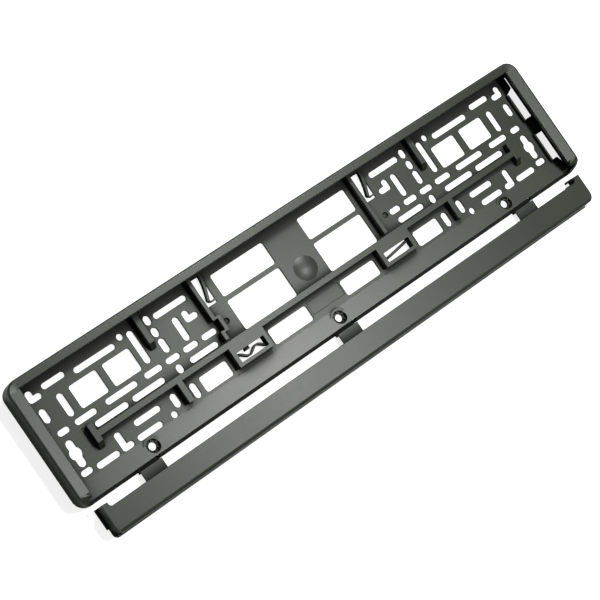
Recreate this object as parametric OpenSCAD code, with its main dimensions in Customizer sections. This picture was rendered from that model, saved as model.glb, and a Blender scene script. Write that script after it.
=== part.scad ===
// Number plate holder for a car, moulded in one piece, shown open and lying on its back.
// A pierced panel with raised ribs carries the plate. A lipped rim runs round its top and sides.
// A capped strip, held by three bent bridges, is pressed over the lower edge of the plate.

/* [Plate] */
// Width of the number plate
plate_w = 520; // [505:1:540]
// Height of the number plate
plate_h = 110; // [106:0.5:118]
// Free space beside each end of the plate
side_clearance = 5.6; // [3:0.1:8]
// Free space above the plate
top_clearance = 0.7; // [0.3:0.1:2]
// How far the plate reaches below the panel
plate_overhang = 1.8; // [0.5:0.1:3]

/* [Panel] */
// Thickness of the panel
panel_t = 2; // [1.5:0.1:3]
// Width of the narrow slots that run across
slot_w = 4.9; // [4:0.1:6]
// Width of the narrow slots that run up the panel
post_slot_w = 5.9; // [4.5:0.1:6.5]
// Corner radius of the windows
window_r = 2; // [1:0.1:3]
// Sideways shift of the middle column and the strip
column_shift = 1.6; // [0:0.1:2.5]

/* [Rim] */
// Height of the rim above the back
rim_h = 20; // [16:0.5:22]
// Thickness of the rim wall
rim_wall = 2.4; // [1.8:0.1:3]
// Width of the lip over the plate
lip_w = 7.8; // [6.5:0.1:9]
// Thickness of the lip
lip_t = 2; // [1.5:0.1:2.5]
// Depth of the turned down inner edge of the lip
lip_drop = 4.2; // [3:0.1:5]
// Outer corner radius of the rim
corner_r = 10.6; // [9.5:0.1:12]
// Radius of the rim's outer shoulder
shoulder_r = 1.9; // [1:0.1:2.2]
// Fall of the lip's face towards the plate
lip_fall = 0.7; // [0.3:0.1:1]

/* [Ribs] */
// Height of the ribs above the panel
rib_h = 6.5; // [5:0.1:8]
// Thickness of the ribs that carry the plate
rib_w = 5; // [4:0.1:5.6]
// Thickness of the ribs beside the spring tongues
thin_rib_w = 3.3; // [2.4:0.1:4]
// Wall on both sides of the groove in the back of a thick rib
groove_wall = 1.6; // [1.2:0.1:1.8]
// Length of the sloped end of a rib
end_slope = 5; // [3:0.5:7]
// Wall of the frames round the two springs
pocket_wall = 3.8; // [3:0.1:4.5]

/* [Screw holes] */
// Radius of the screw holes
screw_r = 3.3; // [2.5:0.1:3.8]
// Radius of the cup round each screw hole
cup_r = 6.3; // [5.8:0.1:6.6]
// Distance between neighbouring screw holes
screw_pitch = 191; // [185:0.5:195]
// Distance of the screw holes from the panel's lower edge
screw_up = 10.8; // [10.2:0.1:11.6]

/* [Strip] */
// Height of the strip's face above the back
strip_h = 18; // [14:0.5:20]
// Width of the strip, up the panel
strip_w = 22.4; // [20:0.1:25]
// Half the length of the strip
strip_half = 257.3; // [250:0.1:260]
// Wall thickness of the strip
strip_wall = 1.9; // [1.5:0.1:2.4]
// Gap between the panel and the strip
strip_gap = 8.9; // [8:0.1:11]
// Slope of the strip's lower wall, seen from above
strip_draft = 2.2; // [1.5:0.1:3]
// Outer radius of the strip's lower corners
strip_r = 9; // [6:0.5:10]
// Reach of the ears at the strip's upper corners
ear_reach = 4.6; // [3:0.1:6]
// Width of the bridges to the strip
bridge_w = 20.8; // [16:0.1:22]
// Thickness of the bent film under each bridge
film_t = 0.9; // [0.7:0.1:1.2]

/* [Hidden] */
plastic = [0.33, 0.34, 0.33];
round_fn = 48;
eps = 0.01;

// Outline of the frame
half_w = plate_w / 2 + side_clearance + rim_wall;
frame_h = plate_h + top_clearance + rim_wall - plate_overhang;
y_top = frame_h / 2;
y_low = -frame_h / 2;
spread = half_w / 268;
rise = frame_h / 111.3;

// Raised lower band with the screw cups
band_foot = y_low + 18.6;
band_z = panel_t + 5;
band_flank = 3;
band_y = y_low + band_flank;
band_wall = 1.9;
cup_floor_t = 2;
bridge_slot_y = 3.1;

// Strip and whole depth
strip_y1 = y_low - strip_gap;
strip_y0 = strip_y1 - strip_w;
strip_x0 = column_shift - strip_half;
strip_x1 = column_shift + strip_half;
ear_w = 5.4;
ear_fillet = 3.4;
ledge_w = 2.2;
ledge_h = 2.5;
middle_y = (y_top + strip_y0) / 2;

// Places on the panel follow the size of the frame
function px(x) = x * spread;
function py(y) = y * rise;

// Rows and columns of the panel
long_rib_y = py(-15.7);
row_top = py(37.4);
row_mid = py(2.9);
row_low = py(-6.8);
row_inner = py(-23);
row_foot = py(-34.2);
leg_end = py(-33.6);
post_end = py(17.2);
thin_rib_end = py(-9);
channel_y = y_top - rim_wall;

// Slots that run across: place, row and length, on both halves of the panel
cross_slots = [
    [227, py(40), 21.3], [189.6, py(36.7), 39.3], [114.4, py(38.2), 32.2],
    [242.6, row_mid, 10.6], [221.4, row_mid, 20.2], [187, row_mid, 30.4], [155.8, row_mid, 17],
    [136.4, row_mid, 13.4], [118.4, row_mid, 14.2],
    [203.2, row_low, 31.6], [167.2, row_low, 31.2], [111.7, row_low, 28],
    [180.4, row_inner, 25.3], [185.3, row_foot, 23.8], [225.8, row_foot, 21.4], [245.2, py(-32.6), 10.4]
];
// Slots that run up the panel: place, middle and length
post_slots = [
    [229.6, py(19.2), 20.4], [248, py(20.5), 12.2], [154.6, py(25.2), 29.8], [136.5, py(38.9), 8.2],
    [136.5, py(27.8), 8], [136.4, py(15.3), 12.6], [117, py(18.8), 21.4], [136.4, py(-6.9), 7.8],
    [154.4, py(-25.6), 12], [136, py(-27.9), 13.2]
];
// Round holes in the panel
dots = [[163, py(39.9)], [161.4, row_foot]];
// Bent slots: corner, reach across and reach up
bent_slots = [
    [-252.3, py(33.6), 11.6, 10], [-110, py(19.6), 12.2, 10], [-212.2, py(-36.7), 11, 16.2]
];
// Windows on both halves: from, to, lower and upper edge
side_windows = [[162, 188.2, py(9.1), py(29.5)], [194.1, 220.2, py(9.1), py(29.5)], [101, 128.5, py(-34.7), py(-21.3)]];
// Windows beside the middle column, measured from its middle line
column_half = 18.4;
column_windows = [[71.5, py(21), py(41.4)], [71.5, py(-10.7), py(16.8)], [57.2, py(-34.4), py(-20.8)]];

// Slots beside the rim
gap_inner = half_w - 13.3;
gap_outer = half_w - rim_wall - 0.6;
gap_low = py(-43.5);
gap_high = py(45.5);
web_low = py(-11);
web_high = py(5.2);
edge_rib_w = 1.5;
edge_rib_h = 3.6;

// Spring tongues
left_tongue_x = -83.2;
right_tongue_x = 88;
tongue_slot_w = 9.6;
tongue_slot = [py(21), py(46)];
spring_t = 1.7;
spring_z = 5;

module plan_rect(x0, x1, y0, y1, r) {
    translate([x0 + r, y0 + r])
        square([x1 - x0 - 2 * r, y1 - y0 - 2 * r]);
    for (x = [x0 + r, x1 - r], y = [y0 + r, y1 - r])
        translate([x, y]) circle(r, $fn = 24);
    translate([x0, y0 + r]) square([x1 - x0, y1 - y0 - 2 * r]);
    translate([x0 + r, y0]) square([x1 - x0 - 2 * r, y1 - y0]);
}

// A slot with round ends, centred on x and y
module slot_across(x, y, length, w) {
    plan_rect(x - length / 2, x + length / 2, y - w / 2, y + w / 2, w / 2 - eps);
}

module slot_up(x, y, length, w) {
    plan_rect(x - w / 2, x + w / 2, y - length / 2, y + length / 2, w / 2 - eps);
}

// An L of two slots that share a corner
module bent_slot(x, y, reach_x, reach_y) {
    plan_rect(x, x + reach_x, y, y + slot_w, slot_w / 2 - eps);
    plan_rect(x, x + post_slot_w, y, y + reach_y, slot_w / 2 - eps);
}

// A slot whose middle swells to take a bolt head
module key_slot(x, y) {
    slot_up(x, y, 23.6, 6.7);
    translate([x, y]) circle(5.3, $fn = round_fn);
}

// Everything that is cut through one half of the panel
module half_openings() {
    for (s = cross_slots)
        slot_across(-px(s[0]), s[1], s[2], slot_w);
    for (s = post_slots)
        slot_up(-px(s[0]), s[1], s[2], post_slot_w);
    for (d = dots)
        translate([-px(d[0]), d[1]]) circle(2.8, $fn = 24);
    for (b = bent_slots)
        bent_slot(px(b[0]), b[1], b[2], b[3]);
    for (w = side_windows)
        plan_rect(-px(w[1]), -px(w[0]), w[2], w[3], window_r);
    key_slot(-px(244.4), py(-16.3));
}

// The long gap between the panel and the left wall, with its narrow ends
module rim_gap() {
    difference() {
        translate([-gap_outer, gap_low]) square([gap_outer - gap_inner, gap_high - gap_low]);
        translate([-gap_outer - 1, web_low]) square([gap_outer - gap_inner + 2, web_high - web_low]);
        polygon([[-gap_outer + 2, gap_high + 1], [-gap_outer + 2, py(35)], [-gap_inner, py(31)],
                 [-gap_inner + 1, py(31)], [-gap_inner + 1, gap_high + 1]]);
        polygon([[-gap_outer + 2, gap_low - 1], [-gap_outer + 3, py(-37)], [-gap_inner + 1, py(-37)],
                 [-gap_inner + 1, gap_low - 1]]);
    }
}

// Everything that is cut through the panel
module panel_openings() {
    half_openings();
    mirror([1, 0, 0]) half_openings();
    for (w = column_windows) {
        plan_rect(-px(w[0]), column_shift - column_half, w[1], w[2], window_r);
        plan_rect(column_shift + column_half, px(w[0]), w[1], w[2], window_r);
    }
    slot_across(-px(99.8), row_mid, 14.4, slot_w);
    slot_across(px(100.8), row_mid, 11.4, slot_w);
}

// The frame seen from above
module frame_outline() {
    plan_rect(-half_w, half_w, y_low, y_top, corner_r);
}

// A rib with upright sides, whose lower end can slope down to the panel
module rib(x, w, y0, y1, slope) {
    top = panel_t + rib_h;
    low_end = slope > 0 ? [[y0 + slope, top], [y0, panel_t + 0.8]] : [[y0, top]];
    translate([x, 0, 0]) rotate([90, 0, 90]) linear_extrude(w)
        polygon(concat([[y0, 0], [y1, 0], [y1, top]], low_end));
}

// The groove in the back of a thick rib
module groove(x, w, y0, y1) {
    translate([x + groove_wall, y0 + groove_wall, -1])
        cube([w - 2 * groove_wall, y1 - y0 - 2 * groove_wall, panel_t + rib_h - groove_wall + 1]);
}

// Each thick rib as its place, width, lower end, upper end and the slope of its lower end
post_x = px(143);
cross_x = px(222.3);
long_rib_top = long_rib_y + rib_w;
half_ribs = [
    [post_x, rib_w, leg_end, long_rib_top, 0],
    [post_x, rib_w, post_end, channel_y + rim_wall / 2, end_slope],
    [cross_x, rib_w, py(-24.3), py(-3.3), end_slope]
];

module thick_ribs() {
    for (side = [0, 1], r = half_ribs)
        mirror([side, 0, 0]) rib(r[0], r[1], r[2], r[3], r[4]);
    rib(-cross_x - 1, 2 * cross_x + 2, long_rib_y, long_rib_top, 0);
}

module grooves() {
    for (side = [0, 1], r = half_ribs)
        mirror([side, 0, 0]) groove(r[0], r[1], r[2] + r[4], r[3]);
    groove(-cross_x - 1, 2 * cross_x + 2, long_rib_y, long_rib_top);
}

// The thin ribs beside the spring tongues: the left one steps aside for the end of a slot
left_thin_x = -px(93.4);
right_thin_x = px(76.6);
jog = 4.5;
jog_y = [py(-1), py(9.5)];

module thin_ribs() {
    top_y = channel_y + rim_wall / 2;
    linear_extrude(panel_t + rib_h) {
        translate([right_thin_x, thin_rib_end]) square([thin_rib_w, top_y - thin_rib_end]);
        translate([left_thin_x, thin_rib_end]) square([thin_rib_w, jog_y[0] - thin_rib_end]);
        translate([left_thin_x, jog_y[1]]) square([thin_rib_w, top_y - jog_y[1]]);
        translate([left_thin_x + jog, jog_y[0] - 2]) square([thin_rib_w, jog_y[1] - jog_y[0] + 4]);
        for (y = [jog_y[0] - 2, jog_y[1]])
            translate([left_thin_x, y]) square([thin_rib_w + jog, 2]);
    }
}

// The raised frame round a spring, from its left side
pocket_x = px(61.3);
pocket_w = 35;
pocket_window_y = [leg_end + pocket_wall - 0.8, py(-21.9)];

module pocket_frame(x) {
    translate([x, leg_end, 0]) cube([pocket_w, long_rib_y + 1 - leg_end, panel_t + rib_h]);
}

module pocket_window(x) {
    translate([x + pocket_wall, pocket_window_y[0], -1])
        cube([pocket_w - 2 * pocket_wall, pocket_window_y[1] - pocket_window_y[0], rim_h]);
}

// A springy ribbon along a line of points, of even thickness
module ribbon(line, t) {
    n = len(line);
    side = [for (i = [0:n - 1])
        let (a = line[max(i - 1, 0)], b = line[min(i + 1, n - 1)], d = (b - a) / norm(b - a))
        [-d[1], d[0]] * t / 2];
    polygon(concat([for (i = [0:n - 1]) line[i] + side[i]],
                   [for (i = [n - 1:-1:0]) line[i] - side[i]]));
}

// The wave spring of the left pocket and the single blade of the right one
module pocket_springs() {
    span = pocket_w - 2 * pocket_wall + 0.6;
    depth = pocket_window_y[1] - pocket_window_y[0];
    wave = [for (i = [0:24]) let (s = i / 24)
        [s * span, depth * (0.55 + 0.27 * cos(s * 540 - 30) - 0.2 * s)]];
    translate([-pocket_x - pocket_w + pocket_wall - 0.3, pocket_window_y[0], 0]) {
        linear_extrude(spring_z) ribbon(wave, spring_t);
        translate([0.35 * span, depth * 0.7, 0]) cube([4, depth * 0.3 + 0.5, spring_z]);
    }
    blade = [for (i = [0:12]) let (s = i / 12) [span - s * 0.9 * span, depth * (0.8 - 0.52 * s + 0.12 * s * s)]];
    translate([pocket_x + pocket_wall - 0.3, pocket_window_y[0], 0])
        linear_extrude(spring_z) ribbon(blade, spring_t + 0.5);
}

// A curved tongue that hangs from the top of its slot
module tongue(x, side) {
    line = [for (i = [0:16]) let (s = i / 16)
        [x + side * (3.6 - 5.6 * pow(s, 1.6)), tongue_slot[1] + 0.5 - (tongue_slot[1] - tongue_slot[0] - 3.4) * s]];
    linear_extrude(panel_t + 2.6) ribbon(line, spring_t + 0.6);
    linear_extrude(panel_t)
        ribbon([line[16], line[16] + [side * 3, -1.4], line[16] + [side * 6.8, -1.2]], spring_t);
}

// Section of the rim: across from its outer face, and up
lip_nose = 0.7;
rim_section = concat(
    [[rim_wall, 0], [0, 0]],
    [for (a = [0:15:90]) [shoulder_r - shoulder_r * cos(a), rim_h - shoulder_r + shoulder_r * sin(a)]],
    [for (a = [90:-30:0]) [lip_w - lip_nose + lip_nose * cos(a), rim_h - lip_fall - lip_nose + lip_nose * sin(a)]],
    [[lip_w, rim_h - lip_drop], [lip_w - 1.4, rim_h - lip_drop], [lip_w - 1.4, rim_h - lip_t],
     [rim_wall, rim_h - lip_t]]
);

// A quarter turn of the rim about the corner's own middle
module rim_corner() {
    intersection() {
        rotate_extrude($fn = 96)
            polygon([for (p = rim_section) [corner_r - p[0], p[1]]]);
        translate([0, 0, -1]) cube([corner_r + 1, corner_r + 1, rim_h + 2]);
    }
}

module rim_side() {
    translate([half_w, y_low + corner_r, 0]) rotate([90, 0, 180])
        linear_extrude(frame_h - 2 * corner_r)
            polygon([for (p = rim_section) [p[0], p[1]]]);
    translate([half_w - corner_r, y_top - corner_r, 0]) rim_corner();
    translate([half_w - corner_r, y_low + corner_r, 0]) mirror([0, 1, 0]) rim_corner();
}

// What is cut from the lower ends of the rim, so that they fall in a curve to the panel's corner
module rim_end_cut() {
    fall = [for (a = [0:10:90])
        [y_low + corner_r - corner_r * sin(a) * 1.02, band_z - 2 + (rim_h - band_z + 2) * cos(a)]];
    translate([-half_w - 1, 0, 0]) rotate([90, 0, 90]) linear_extrude(2 * half_w + 2)
        polygon(concat([[y_low + corner_r, rim_h + 1]], fall, [[y_low - 2, band_z - 2], [y_low - 2, rim_h + 1]]));
}

module rim() {
    difference() {
        union() {
            rim_side();
            mirror([1, 0, 0]) rim_side();
        }
        rim_end_cut();
    }
    translate([-half_w + corner_r, y_top, 0]) rotate([90, 0, 90])
        linear_extrude(2 * (half_w - corner_r))
            polygon([for (p = rim_section) [-p[0], p[1]]]);
}

// The lower band rises from the panel to a bent edge
module lower_band() {
    intersection() {
        translate([-half_w, 0, 0]) rotate([90, 0, 90]) linear_extrude(2 * half_w)
            polygon([[band_foot, 0], [band_foot, panel_t], [band_y, band_z], [y_low, 0.6], [y_low, 0],
                     [y_low + band_wall + 0.5, 0], [band_y + 0.9, band_z - band_wall], [band_foot - 3, 0]]);
        linear_extrude(rim_h) frame_outline();
    }
}

// The space under the band that the panel leaves open
module band_space() {
    translate([-half_w + corner_r, 0, -eps]) rotate([90, 0, 90]) linear_extrude(2 * (half_w - corner_r))
        polygon([[y_low - 1, -1], [y_low - 1, rim_h], [band_foot, rim_h], [band_foot, -1]]);
}

function screw_x(i) = i * screw_pitch * spread + (i == 0 ? column_shift : 0);
screw_y = y_low + screw_up;
band_z_at_screw = panel_t + (band_z - panel_t) * (band_foot - screw_y) / (band_foot - band_y);

// A round cup that brings the screw's head down to the back
module screw_cup(x) {
    translate([x, screw_y, 0]) cylinder(r = cup_r + 1.6, h = band_z_at_screw - 0.9, $fn = round_fn);
}

module screw_opening(x) {
    translate([x, screw_y, -1]) cylinder(r = screw_r, h = rim_h, $fn = round_fn);
    translate([x, screw_y, cup_floor_t]) cylinder(r1 = cup_r - 0.8, r2 = cup_r, h = band_z, $fn = round_fn);
}

// Thin webs that centre a screw's head in its cup
module cup_webs(x) {
    translate([x, screw_y, 0]) for (a = [20:60:350]) rotate([0, 0, a])
        translate([screw_r + 0.3, -0.4, 0]) cube([cup_r - screw_r, 0.8, band_z_at_screw - 1.2]);
}

function bridge_x(i) = column_shift / 2 + i * 202.6 * spread;

// The space in the band above each bridge's film
module bridge_slot(i) {
    translate([bridge_x(i) - bridge_w / 2 - 0.3, y_low - 1, film_t])
        cube([bridge_w + 0.6, bridge_slot_y + 1, rim_h]);
}

// A bridge: film under the band's edge, web up from it, and a sheet out to the strip
module bridge(i) {
    sheet_z = band_z - 0.4;
    sheet_t = 1.5;
    web_y = y_low - 1.7;
    translate([bridge_x(i) - bridge_w / 2, 0, 0]) rotate([90, 0, 90]) linear_extrude(bridge_w)
        polygon([[y_low + bridge_slot_y + 1.4, 0], [y_low + bridge_slot_y + 1.4, film_t], [y_low - 0.2, film_t],
                 [y_low - 0.2, sheet_z], [strip_y1 - 1, sheet_z], [strip_y1 - 1, sheet_z - sheet_t],
                 [web_y, sheet_z - sheet_t], [web_y, 0]]);
    translate([bridge_x(i) - bridge_w / 2, y_low + bridge_slot_y, 0]) cube([bridge_w, 1.4, band_z - 0.8]);
}

// The strip seen from above, with round lower corners and an ear at each upper corner
module strip_outline(inset) {
    r = strip_r - inset;
    y0 = strip_y0 + inset;
    difference() {
        union() {
            plan_rect(strip_x0 + inset, strip_x1 - inset, y0, strip_y1 - inset, r);
            translate([strip_x0 + inset, y0 + r])
                square([strip_x1 - strip_x0 - 2 * inset, strip_w - 2 * inset - r]);
            for (x = [strip_x0 + inset, strip_x1 - ear_w - ear_fillet + inset])
                translate([x, strip_y1 - strip_r])
                    square([ear_w + ear_fillet - 2 * inset, strip_r + ear_reach - inset]);
        }
        translate([strip_x0 + ear_w + ear_fillet, strip_y1 + ear_fillet]) circle(ear_fillet, $fn = round_fn);
        translate([strip_x1 - ear_w - ear_fillet, strip_y1 + ear_fillet]) circle(ear_fillet, $fn = round_fn);
        translate([strip_x0 + ear_w, strip_y1 + ear_fillet])
            square([ear_w + ear_fillet, ear_reach + 1]);
        translate([strip_x1 - 2 * ear_w - ear_fillet, strip_y1 + ear_fillet])
            square([ear_w + ear_fillet, ear_reach + 1]);
    }
}

// The strip's outline raised to a height, with a sloped lower side
module strip_block(inset, h) {
    y0 = strip_y0 + inset;
    difference() {
        translate([0, 0, -inset]) linear_extrude(h + inset) strip_outline(inset);
        translate([strip_x0 - 1, 0, 0]) rotate([90, 0, 90]) linear_extrude(strip_x1 - strip_x0 + 2)
            polygon([[y0 - 1, 1], [y0, 1], [y0 + strip_draft * 0.8, h - 1.2], [y0 + strip_draft * 1.3, h - 0.35],
                     [y0 + strip_draft * 1.9, h], [y0 + strip_draft * 1.9, h + 1], [y0 - 1, h + 1]]);
    }
}

// The strip: a long cap, open at the back, with a ledge at each end
module strip() {
    difference() {
        strip_block(0, strip_h);
        strip_block(strip_wall, strip_h - strip_wall);
    }
    for (x = [strip_x0 - ledge_w, strip_x1 - eps])
        translate([x, strip_y0 + strip_r, 0])
            cube([ledge_w + eps, strip_w - strip_r + ear_reach, ledge_h]);
}

// A low dome in the middle column
module dome() {
    dome_r = 10.8;
    dome_h = 1.3;
    ball = (dome_r * dome_r + dome_h * dome_h) / (2 * dome_h);
    translate([column_shift + 0.6, py(4), panel_t]) intersection() {
        translate([0, 0, dome_h - ball]) sphere(ball, $fn = 180);
        translate([0, 0, -0.5]) cylinder(r = dome_r, h = dome_h + 1, $fn = round_fn);
    }
}

// Short ribs on the panel's edges, the webs across the gaps, and small stops on the webs
module edge_ribs() {
    for (side = [-1, 1]) {
        for (y = [[gap_low + 6, web_low + 1], [web_high - 1, py(31)]])
            translate([side * (gap_inner - edge_rib_w / 2) - edge_rib_w / 2, y[0], 0])
                cube([edge_rib_w, y[1] - y[0], panel_t + edge_rib_h]);
        translate([side * (gap_outer - 2.2) - 1.4, web_low + 0.4, 0])
            cube([2.8, web_high - web_low - 0.8, panel_t + 1.6]);
    }
}

// The flat panel, open under the lower band
module panel() {
    difference() {
        linear_extrude(panel_t) frame_outline();
        band_space();
    }
}

module plate_holder() {
    color(plastic) translate([0, -middle_y, 0]) {
        difference() {
            union() {
                panel();
                thick_ribs();
                thin_ribs();
                pocket_frame(-pocket_x - pocket_w);
                pocket_frame(pocket_x);
                dome();
                edge_ribs();
                lower_band();
                for (i = [-1:1]) screw_cup(screw_x(i));
            }
            translate([0, 0, -1]) linear_extrude(panel_t + 1.02) panel_openings();
            for (side = [0, 1])
                mirror([side, 0, 0]) translate([0, 0, -1]) linear_extrude(rim_h) rim_gap();
            grooves();
            pocket_window(-pocket_x - pocket_w);
            pocket_window(pocket_x);
            for (t = [left_tongue_x, right_tongue_x])
                translate([px(t) - tongue_slot_w / 2, tongue_slot[0], -1])
                    cube([tongue_slot_w, tongue_slot[1] - tongue_slot[0], rim_h]);
            translate([-px(81.3), py(3.9), 0.5]) cylinder(r = 2.7, h = panel_t, $fn = 32);
            translate([px(90.2), py(3.8), 0.5]) cylinder(r = 2.6, h = panel_t, $fn = 32);
            translate([column_shift - column_half + 1.4, py(-31.6), panel_t - 0.4])
                cube([2 * column_half - 2.8, py(11.6), 1]);
            for (i = [-1:1]) screw_opening(screw_x(i));
            for (i = [-1:1]) bridge_slot(i);
        }
        for (i = [-1:1]) cup_webs(screw_x(i));
        pocket_springs();
        tongue(px(left_tongue_x), 1);
        tongue(px(right_tongue_x), 1);
        rim();
        for (i = [-1:1]) bridge(i);
        strip();
    }
}

plate_holder();
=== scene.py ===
"""Number plate holder: one dark, semi-matte plastic moulding, lying open on a pale floor.

The CAD node keeps its shape and gets the moulded plastic. Three pieces of the same moulding are
added to it: the turned-in edge of the lip at each end, and the foot of the strip.
"""
import math

import bmesh
import bpy
import numpy as np
from mathutils import Matrix, Vector


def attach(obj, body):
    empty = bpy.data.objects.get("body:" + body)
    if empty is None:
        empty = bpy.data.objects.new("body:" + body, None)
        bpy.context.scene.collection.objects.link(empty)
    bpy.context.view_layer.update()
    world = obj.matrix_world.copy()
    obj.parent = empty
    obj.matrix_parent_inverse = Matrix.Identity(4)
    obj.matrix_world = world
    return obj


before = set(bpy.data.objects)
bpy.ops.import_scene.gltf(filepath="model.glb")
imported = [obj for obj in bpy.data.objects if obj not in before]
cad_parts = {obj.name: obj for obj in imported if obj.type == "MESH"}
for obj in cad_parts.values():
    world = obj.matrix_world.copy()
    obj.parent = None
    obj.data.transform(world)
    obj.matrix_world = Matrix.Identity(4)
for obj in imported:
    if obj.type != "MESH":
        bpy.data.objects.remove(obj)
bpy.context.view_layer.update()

# Camera: where it stands, what it looks at, its turn about the view, its lens and sensor in
# millimetres, and how far it sees in metres
CAMERA_PLACE = Vector((-0.6292, -0.0200, 1.3728))
CAMERA_TARGET = Vector((-0.0172, 0.0006, 0.0))
CAMERA_ROLL = math.radians(34.43)
CAMERA_LENS = 111.0
CAMERA_SENSOR = 36.0
CAMERA_REACH = 50.0

# Lamps: place, what they aim at, side of the square in metres and power in watts
KEY_LAMP = (Vector((0.48, 0.70, 1.20)), Vector((0.0, 0.0, 0.0)), 0.24, 10.5)
GLOSS_LAMP = (Vector((0.480, -0.08, 1.373)), Vector((-0.08, -0.05, 0.0)), 0.16, 5.8)
SKY_LEVEL = 0.11

# Floor: its colour, the white that only the camera sees, half its side and its depth in metres
FLOOR_COLOUR = (0.86, 0.86, 0.86, 1.0)
FLOOR_LEVEL = 0.80
FLOOR_HALF = 6.0
FLOOR_DEPTH = 0.0002

# Plastic: base colours in linear light
PLASTIC_DARK = (0.0400, 0.0470, 0.0325, 1.0)
PLASTIC_LIGHT = (0.0505, 0.0590, 0.0405, 1.0)
# Painted highlight: the lighter colour mixed in along the edges
EDGE_HIGHLIGHT_COLOUR = (0.084, 0.095, 0.071, 1.0)
# Painted shade: the dark colour mixed in deep in corners and under the lip
PAINTED_SHADE_COLOUR = (0.011, 0.012, 0.011, 1.0)

# Plastic: scales of its patterns in metres
# Reaches of the mask for painted shade, wide and tight
RECESS_REACH = 0.024
TIGHT_REACH = 0.0040
GRAIN_SIZE = 0.00035
COARSE_GRAIN_SIZE = 0.00315
CLOUD_SIZE = 0.055
EDGE_RADIUS = 0.00045
GRAIN_DEPTH = 0.0002

# Plastic: gloss, and how strongly each pattern shows
PLASTIC_IOR = 1.49
SPECULAR_LEVEL = 0.5
MEAN_ROUGHNESS = 0.345
GRAIN_ROUGHNESS = 0.04
CLOUD_ROUGHNESS = 0.05
RECESS_ROUGHNESS = 0.45
COARSE_SHARE = 0.8
GRAIN_STRENGTH = 0.10
# Strength of the painted highlight along the edges
EDGE_HIGHLIGHT_STRENGTH = 0.55
CLOUD_RANGE = (0.3, 0.7)
RECESS_SAMPLES = 12
EDGE_SAMPLES = 6

# Holder's own measures in metres, as the part's source has them
HALF_WIDTH = 0.2680
LIP_WIDTH = 0.0078
RIM_HEIGHT = 0.0200
LIP_EDGE_DEPTH = 0.0042
LIP_INNER_TOP = 0.0635
LIP_INNER_LOW = -0.0314
STRIP_LEFT = -0.2557
STRIP_RIGHT = 0.2589
STRIP_LOW = -0.0713
STRIP_CORNER = 0.0090


def new_group(name, inputs, outputs):
    """An empty shader node group with named inputs and outputs, and its two end nodes.

    An input is given as (name, socket type, default), an output as (name, socket type).
    """
    group = bpy.data.node_groups.new(name, "ShaderNodeTree")
    for label, kind, default in inputs:
        socket = group.interface.new_socket(name=label, in_out="INPUT", socket_type=kind)
        if default is not None:
            socket.default_value = default
    for label, kind in outputs:
        group.interface.new_socket(name=label, in_out="OUTPUT", socket_type=kind)
    return group, group.nodes.new("NodeGroupInput"), group.nodes.new("NodeGroupOutput")


def math_node(tree, operation, a, b=None, clamp=False):
    """A Math node whose inputs are numbers or sockets, and its output."""
    node = tree.nodes.new("ShaderNodeMath")
    node.operation = operation
    node.use_clamp = clamp
    for socket, value in zip(node.inputs, (a, b)):
        if isinstance(value, bpy.types.NodeSocket):
            tree.links.new(value, socket)
        elif value is not None:
            socket.default_value = value
    return node.outputs[0]


def noise_node(tree, vector, size, detail, roughness):
    """Noise whose features are about size metres across, and its output from 0 to 1."""
    node = tree.nodes.new("ShaderNodeTexNoise")
    node.inputs["Scale"].default_value = 1.0 / size
    node.inputs["Detail"].default_value = detail
    node.inputs["Roughness"].default_value = roughness
    tree.links.new(vector, node.inputs["Vector"])
    return node.outputs["Fac"]


def about_zero(tree, noise, strength):
    """Noise from 0 to 1 turned into a change about zero that is strength across."""
    return math_node(tree, "MULTIPLY", math_node(tree, "SUBTRACT", noise, 0.5), strength)


def moulded_grain_group():
    """Grain of a spark-eroded mould: fine noise for height and roughness, a cloud for the tone."""
    group, inside, outside = new_group(
        "moulded grain",
        [("Vector", "NodeSocketVector", None)],
        [("Height", "NodeSocketFloat"),
         ("Cloud", "NodeSocketFloat"),
         ("Roughness", "NodeSocketFloat")])
    place = inside.outputs["Vector"]
    fine = noise_node(group, place, GRAIN_SIZE, 3.0, 0.6)
    coarse = noise_node(group, place, COARSE_GRAIN_SIZE, 4.0, 0.55)
    cloud = noise_node(group, place, CLOUD_SIZE, 3.0, 0.5)
    height = math_node(group, "ADD", fine, math_node(group, "MULTIPLY", coarse, COARSE_SHARE))
    change = math_node(group, "ADD", about_zero(group, coarse, GRAIN_ROUGHNESS),
                       about_zero(group, cloud, CLOUD_ROUGHNESS))
    group.links.new(height, outside.inputs["Height"])
    group.links.new(cloud, outside.inputs["Cloud"])
    group.links.new(math_node(group, "ADD", change, MEAN_ROUGHNESS), outside.inputs["Roughness"])
    return group


def rounded_edge_group():
    """The normal of slightly rounded edges, and a mask that is 1 where it leaves the flat face."""
    group, inside, outside = new_group(
        "rounded edges",
        [("Sharpness", "NodeSocketFloat", 6.0)],
        [("Normal", "NodeSocketVector"), ("Edge", "NodeSocketFloat")])
    bevel = group.nodes.new("ShaderNodeBevel")
    bevel.samples = EDGE_SAMPLES
    bevel.inputs["Radius"].default_value = EDGE_RADIUS
    shape = group.nodes.new("ShaderNodeNewGeometry")
    dot = group.nodes.new("ShaderNodeVectorMath")
    dot.operation = "DOT_PRODUCT"
    group.links.new(bevel.outputs["Normal"], dot.inputs[0])
    group.links.new(shape.outputs["Normal"], dot.inputs[1])
    turn = math_node(group, "SUBTRACT", 1.0, dot.outputs["Value"])
    edge = math_node(group, "MULTIPLY", turn, inside.outputs["Sharpness"], clamp=True)
    group.links.new(bevel.outputs["Normal"], outside.inputs["Normal"])
    group.links.new(edge, outside.inputs["Edge"])
    return group


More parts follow.
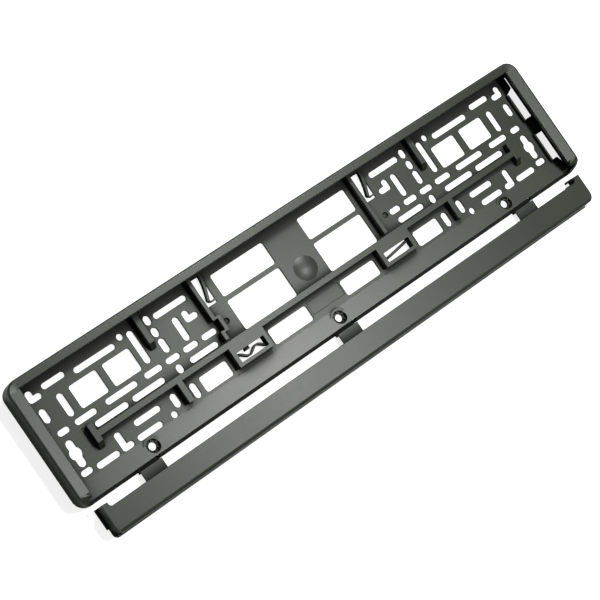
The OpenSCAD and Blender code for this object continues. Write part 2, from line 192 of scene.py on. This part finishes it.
def painted_shade_group():
    """A mask of painted shade, 1 deep in corners and under the lip, where the plastic is also
    dull.

    It is the larger of two masks, from how closed in a point is within a wide and within a
    tight reach. Each starts where the point is less open than its start, and rises by its gain.
    """
    group, inside, outside = new_group(
        "recesses",
        [("Start", "NodeSocketFloat", 0.88),
         ("Gain", "NodeSocketFloat", 2.6),
         ("Tight start", "NodeSocketFloat", 0.80),
         ("Tight gain", "NodeSocketFloat", 4.0)],
        [("Painted shade", "NodeSocketFloat")])
    masks = []
    for reach, start, gain in ((RECESS_REACH, "Start", "Gain"),
                               (TIGHT_REACH, "Tight start", "Tight gain")):
        openness = group.nodes.new("ShaderNodeAmbientOcclusion")
        openness.samples = RECESS_SAMPLES
        openness.only_local = True
        openness.inputs["Distance"].default_value = reach
        depth = math_node(group, "SUBTRACT", inside.outputs[start], openness.outputs["AO"])
        masks.append(math_node(group, "MULTIPLY", depth, inside.outputs[gain], clamp=True))
    group.links.new(math_node(group, "MAXIMUM", *masks), outside.inputs["Painted shade"])
    return group


def mix_colour(tree, factor, first, second):
    """A colour mix between a colour socket and a fixed colour, and its output."""
    mix = tree.nodes.new("ShaderNodeMix")
    mix.data_type = "RGBA"
    colours = [socket for socket in mix.inputs if socket.type == "RGBA"]
    tree.links.new(factor, mix.inputs["Factor"])
    tree.links.new(first, colours[0])
    colours[1].default_value = second
    return next(socket for socket in mix.outputs if socket.type == "RGBA")


def place_group(tree, group, location):
    """A node that shows a node group in a material's tree."""
    node = tree.nodes.new("ShaderNodeGroup")
    node.node_tree = group
    node.location = location
    return node


def moulded_plastic(grain, edges, recesses):
    """Dark grey plastic with a satin gloss and a fine moulded grain.

    Its cloudy base colour has a painted highlight on edges, and painted shade and dullness in
    recesses.
    """
    material = bpy.data.materials.new("moulded plastic")
    material.use_nodes = True
    tree = material.node_tree
    shader = tree.nodes["Principled BSDF"]
    shader.inputs["IOR"].default_value = PLASTIC_IOR
    shader.inputs["Specular IOR Level"].default_value = SPECULAR_LEVEL
    place = tree.nodes.new("ShaderNodeTexCoord").outputs["Object"]
    texture = place_group(tree, grain, (-600, 0))
    rim = place_group(tree, edges, (-600, -300))
    corner = place_group(tree, recesses, (-600, -500))
    tree.links.new(place, texture.inputs["Vector"])

    tone = tree.nodes.new("ShaderNodeValToRGB")
    for stop, position, colour in zip(tone.color_ramp.elements, CLOUD_RANGE,
                                      (PLASTIC_DARK, PLASTIC_LIGHT)):
        stop.position = position
        stop.color = colour
    tree.links.new(texture.outputs["Cloud"], tone.inputs["Fac"])
    # Painted highlight: the base colour is lightened along the edges
    edge_highlight = math_node(tree, "MULTIPLY", rim.outputs["Edge"], EDGE_HIGHLIGHT_STRENGTH)
    highlighted = mix_colour(tree, edge_highlight, tone.outputs["Color"], EDGE_HIGHLIGHT_COLOUR)
    # Painted shade: the base colour is darkened deep in corners and under the lip
    shaded = mix_colour(tree, corner.outputs["Painted shade"], highlighted, PAINTED_SHADE_COLOUR)
    tree.links.new(shaded, shader.inputs["Base Color"])

    dull = math_node(tree, "MULTIPLY", corner.outputs["Painted shade"], RECESS_ROUGHNESS)
    rough = math_node(tree, "ADD", texture.outputs["Roughness"], dull)
    tree.links.new(rough, shader.inputs["Roughness"])

    bump = tree.nodes.new("ShaderNodeBump")
    bump.inputs["Strength"].default_value = GRAIN_STRENGTH
    bump.inputs["Distance"].default_value = GRAIN_DEPTH
    tree.links.new(texture.outputs["Height"], bump.inputs["Height"])
    tree.links.new(rim.outputs["Normal"], bump.inputs["Normal"])
    tree.links.new(bump.outputs["Normal"], shader.inputs["Normal"])
    return material


def dress_moulding(plastic):
    """Gives the one moulded piece its plastic."""
    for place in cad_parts["plate_holder"].material_slots:
        place.material = plastic


def ring_surface(name, rings, plastic):
    """A closed surface from an array of rings, shaped (along, around, 3).

    Point (i, j) joins its neighbours in both directions, each ring closes on itself, and the
    first and the last ring are faces of their own.
    """
    along, around = rings.shape[:2]
    index = np.arange(along * around).reshape(along, around)
    turned = np.roll(index, -1, axis=1)
    walls = np.stack((index[:-1], turned[:-1], turned[1:], index[1:]), axis=-1).reshape(-1, 4)
    faces = walls.tolist() + [index[0].tolist(), index[-1].tolist()]
    mesh = bpy.data.meshes.new(name)
    mesh.from_pydata(rings.reshape(-1, 3).tolist(), [], faces)
    shell = bmesh.new()
    shell.from_mesh(mesh)
    bmesh.ops.recalc_face_normals(shell, faces=shell.faces)
    shell.to_mesh(mesh)
    shell.free()
    mesh.materials.append(plastic)
    piece = bpy.data.objects.new(name, mesh)
    bpy.context.scene.collection.objects.link(piece)
    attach(piece, "root")


def end_lip(name, side, plastic):
    """The turned-in edge of the lip at one end, which reaches over the plate.

    A profile of place across and height, with a nose that is a quarter circle, is carried
    straight along Y. Its lowest ring is drawn in a little, as the real edge is.
    """
    reach = 0.0034
    nose = 0.0007
    slope = 0.122
    face_drop = 0.00069
    shoulder = 0.0058
    sunk = 0.0004
    thickness = 0.0010
    overlap = 0.0008
    draw = 0.0010

    root = HALF_WIDTH - LIP_WIDTH
    top = RIM_HEIGHT - face_drop
    low = RIM_HEIGHT - LIP_EDGE_DEPTH
    angle = np.linspace(np.pi / 2, 0.0, 7)
    nose_x = root - reach + nose - nose * np.cos(angle)
    nose_z = top - slope * reach - nose + nose * np.sin(angle)
    x = np.concatenate(([root + shoulder], nose_x, [root - reach, root + sunk, root + shoulder]))
    z = np.concatenate(([top + slope * shoulder], nose_z, [low, low, top - thickness]))
    y = np.array([LIP_INNER_TOP + overlap, LIP_INNER_LOW + draw, LIP_INNER_LOW])
    drawn_in = np.array([0.0, 0.0, draw])
    rings = np.zeros((len(y), len(x), 3))
    rings[:, :, 0] = side * np.maximum(x, x.min() + drawn_in[:, None])
    rings[:, :, 1] = y[:, None]
    rings[:, :, 2] = z - drawn_in[:, None] * 0.5
    ring_surface(name, rings, plastic)


def strip_foot(plastic):
    """The foot along the strip's lower side and round its corners, square outside.

    A direction turns from -X by way of -Y to +X about the centres of the strip's lower corners.
    The inner line lies within the corner's circle. The outer line lies where that direction
    meets a square round the circle whose tip is cut off. The profile runs between the two, and
    its upper outer edge is chamfered.
    """
    width = 0.0006
    height = 0.0020
    sunk = 0.0012
    chamfer = 0.0004
    chamfer_share = 0.85
    tip = 1.22
    run_up = 0.0030
    steps = 13

    left = STRIP_LEFT + STRIP_CORNER
    right = STRIP_RIGHT - STRIP_CORNER
    low = STRIP_LOW + STRIP_CORNER
    quarter = np.linspace(0.0, np.pi / 2, steps)
    turn = np.concatenate(([0.0], quarter, quarter + np.pi / 2, [np.pi])) + np.pi
    centre_x = np.repeat([left, right], steps + 1)
    centre_y = np.concatenate(([low + run_up], np.full(2 * steps, low), [low + run_up]))
    centre = np.stack((centre_x, centre_y), axis=-1)
    direction = np.stack((np.cos(turn), np.sin(turn)), axis=-1)
    square = (STRIP_CORNER + width) * np.minimum(1.0 / np.abs(direction).max(axis=1), tip)
    share = np.array([0.0, 1.0, 1.0, chamfer_share, 0.0])
    lift = np.array([0.0, 0.0, height - chamfer, height, height])
    radius = (STRIP_CORNER - sunk) * (1.0 - share) + square[:, None] * share
    rings = np.zeros((len(turn), len(share), 3))
    rings[:, :, :2] = centre[:, None, :] + direction[:, None, :] * radius[:, :, None]
    rings[:, :, 2] = lift
    ring_surface("strip_foot", rings, plastic)


def floor_material():
    """Pale floor: diffuse for light and shadow, and a plain white that only the camera sees."""
    material = bpy.data.materials.new("pale floor")
    material.use_nodes = True
    tree = material.node_tree
    tree.nodes.remove(tree.nodes["Principled BSDF"])
    end = tree.nodes["Material Output"]
    diffuse = tree.nodes.new("ShaderNodeBsdfDiffuse")
    diffuse.inputs["Color"].default_value = FLOOR_COLOUR
    glow = tree.nodes.new("ShaderNodeEmission")
    path = tree.nodes.new("ShaderNodeLightPath")
    seen = math_node(tree, "MULTIPLY", path.outputs["Is Camera Ray"], FLOOR_LEVEL)
    tree.links.new(seen, glow.inputs["Strength"])
    both = tree.nodes.new("ShaderNodeAddShader")
    tree.links.new(diffuse.outputs["BSDF"], both.inputs[0])
    tree.links.new(glow.outputs["Emission"], both.inputs[1])
    tree.links.new(both.outputs["Shader"], end.inputs["Surface"])
    return material


def make_floor():
    """A wide flat square just under the holder's back."""
    mesh = bpy.data.meshes.new("floor")
    corners = [(x * FLOOR_HALF, y * FLOOR_HALF, -FLOOR_DEPTH)
               for x, y in ((-1, -1), (1, -1), (1, 1), (-1, 1))]
    mesh.from_pydata(corners, [], [(0, 1, 2, 3)])
    floor = bpy.data.objects.new("floor", mesh)
    bpy.context.scene.collection.objects.link(floor)
    mesh.materials.append(floor_material())


def make_lamp(name, lamp):
    """A square area lamp that faces what it aims at."""
    place, aim, side, power = lamp
    data = bpy.data.lights.new(name, "AREA")
    data.shape = "SQUARE"
    data.size = side
    data.energy = power
    lamp_object = bpy.data.objects.new(name, data)
    lamp_object.location = place
    lamp_object.rotation_euler = (aim - place).to_track_quat("-Z", "Y").to_euler()
    bpy.context.scene.collection.objects.link(lamp_object)


def make_sky():
    """An even pale sky that lights little and that the camera sees as white."""
    world = bpy.data.worlds.new("sky")
    bpy.context.scene.world = world
    world.use_nodes = True
    tree = world.node_tree
    back = tree.nodes["Background"]
    back.inputs["Color"].default_value = (1.0, 1.0, 1.0, 1.0)
    path = tree.nodes.new("ShaderNodeLightPath")
    seen = math_node(tree, "MULTIPLY", path.outputs["Is Camera Ray"], 1.0 - SKY_LEVEL)
    tree.links.new(math_node(tree, "ADD", seen, SKY_LEVEL), back.inputs["Strength"])


def make_camera():
    """The camera at the photograph's place, turned about its view as the photograph is."""
    data = bpy.data.cameras.new("camera")
    data.lens = CAMERA_LENS
    data.sensor_width = CAMERA_SENSOR
    data.clip_end = CAMERA_REACH
    camera = bpy.data.objects.new("camera", data)
    forward = (CAMERA_TARGET - CAMERA_PLACE).normalized()
    level_up = (Vector((0, 1, 0)) - forward * forward.y).normalized()
    level_right = forward.cross(level_up)
    up = level_up * math.cos(CAMERA_ROLL) + level_right * math.sin(CAMERA_ROLL)
    right = forward.cross(up)
    turn = Matrix((right, up, -forward)).transposed().to_4x4()
    camera.matrix_world = Matrix.Translation(CAMERA_PLACE) @ turn
    bpy.context.scene.collection.objects.link(camera)
    bpy.context.scene.camera = camera


make_camera()
moulding_plastic = moulded_plastic(moulded_grain_group(), rounded_edge_group(), painted_shade_group())
dress_moulding(moulding_plastic)
end_lip("end_lip_left", -1, moulding_plastic)
end_lip("end_lip_right", 1, moulding_plastic)
strip_foot(moulding_plastic)
make_floor()
make_lamp("key lamp", KEY_LAMP)
make_lamp("gloss lamp", GLOSS_LAMP)
make_sky()
bpy.context.scene.view_settings.view_transform = "Standard"
